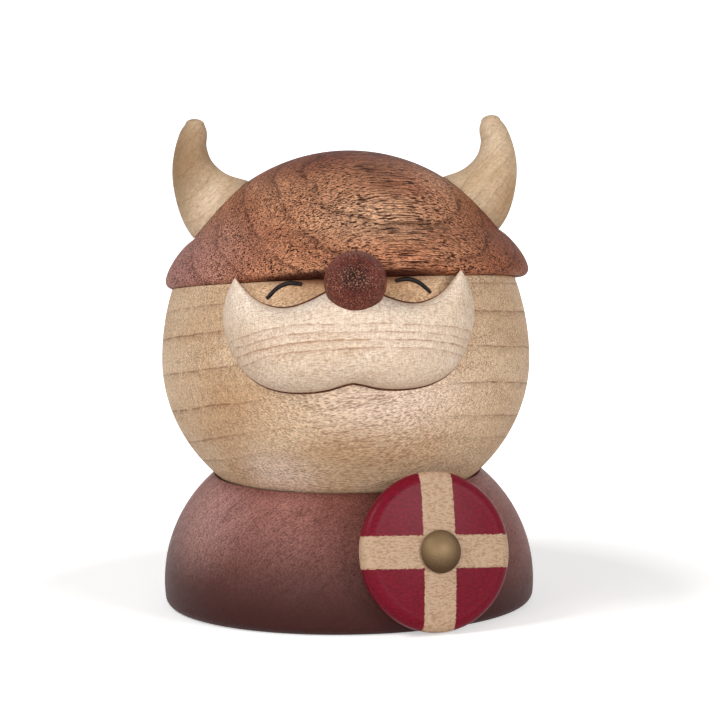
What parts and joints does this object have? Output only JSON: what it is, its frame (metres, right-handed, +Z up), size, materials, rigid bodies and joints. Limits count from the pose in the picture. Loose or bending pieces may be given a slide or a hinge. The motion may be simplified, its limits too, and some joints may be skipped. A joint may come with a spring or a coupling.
{
  "type": "carved viking figure",
  "caption": "Turned wooden figure: a ball head with horned cap, carved moustache and ball nose turns in a dished round body with a nailed painted round shield.",
  "frame": {"origin": "centre of the body's flat foot, on the surface that it stands on", "axes": "+Z up through the body and the head, -Y the way the face looks, +X the viewer's right when facing it"},
  "size_m": [0.078, 0.0851, 0.1026],
  "materials": {
    "torso_walnut": "oiled dark walnut",
    "cap_walnut": "oiled walnut",
    "nose_walnut": "polished dark walnut",
    "head_maple": "fine sanded maple",
    "horn_maple": "fine sanded maple",
    "moustache_maple": "fine sanded pale maple",
    "beech_dowel": "plain beech",
    "shield_paint": "satin crimson paint with a bare wood cross",
    "nail_brass": "aged brass"
  },
  "bodies": {
    "body": {"torso": "torso_walnut", "neck_dowel": "beech_dowel", "shield_nail": "nail_brass"},
    "head_and_cap": {"head": "head_maple", "helmet": "cap_walnut", "horn_left": "horn_maple", "horn_right": "horn_maple", "moustache": "moustache_maple", "nose": "nose_walnut", "nose_peg": "beech_dowel", "cap_dowel": "beech_dowel", "moustache_peg_left": "beech_dowel", "moustache_peg_right": "beech_dowel", "horn_dowel_left": "beech_dowel", "horn_dowel_right": "beech_dowel"},
    "round_shield": {"shield": "shield_paint"}
  },
  "joints": [
    {"name": "head_turn", "type": "hinge", "parent": "body", "child": "head_and_cap", "pos_m": [0, 0, 0.0521], "axis": [0, 0, 1], "continuous": true},
    {"name": "shield_turn", "type": "hinge", "parent": "body", "child": "round_shield", "pos_m": [0.01714, -0.03374, 0.01649], "axis": [0.393, -0.8995, 0.1908], "continuous": true}
  ]
}
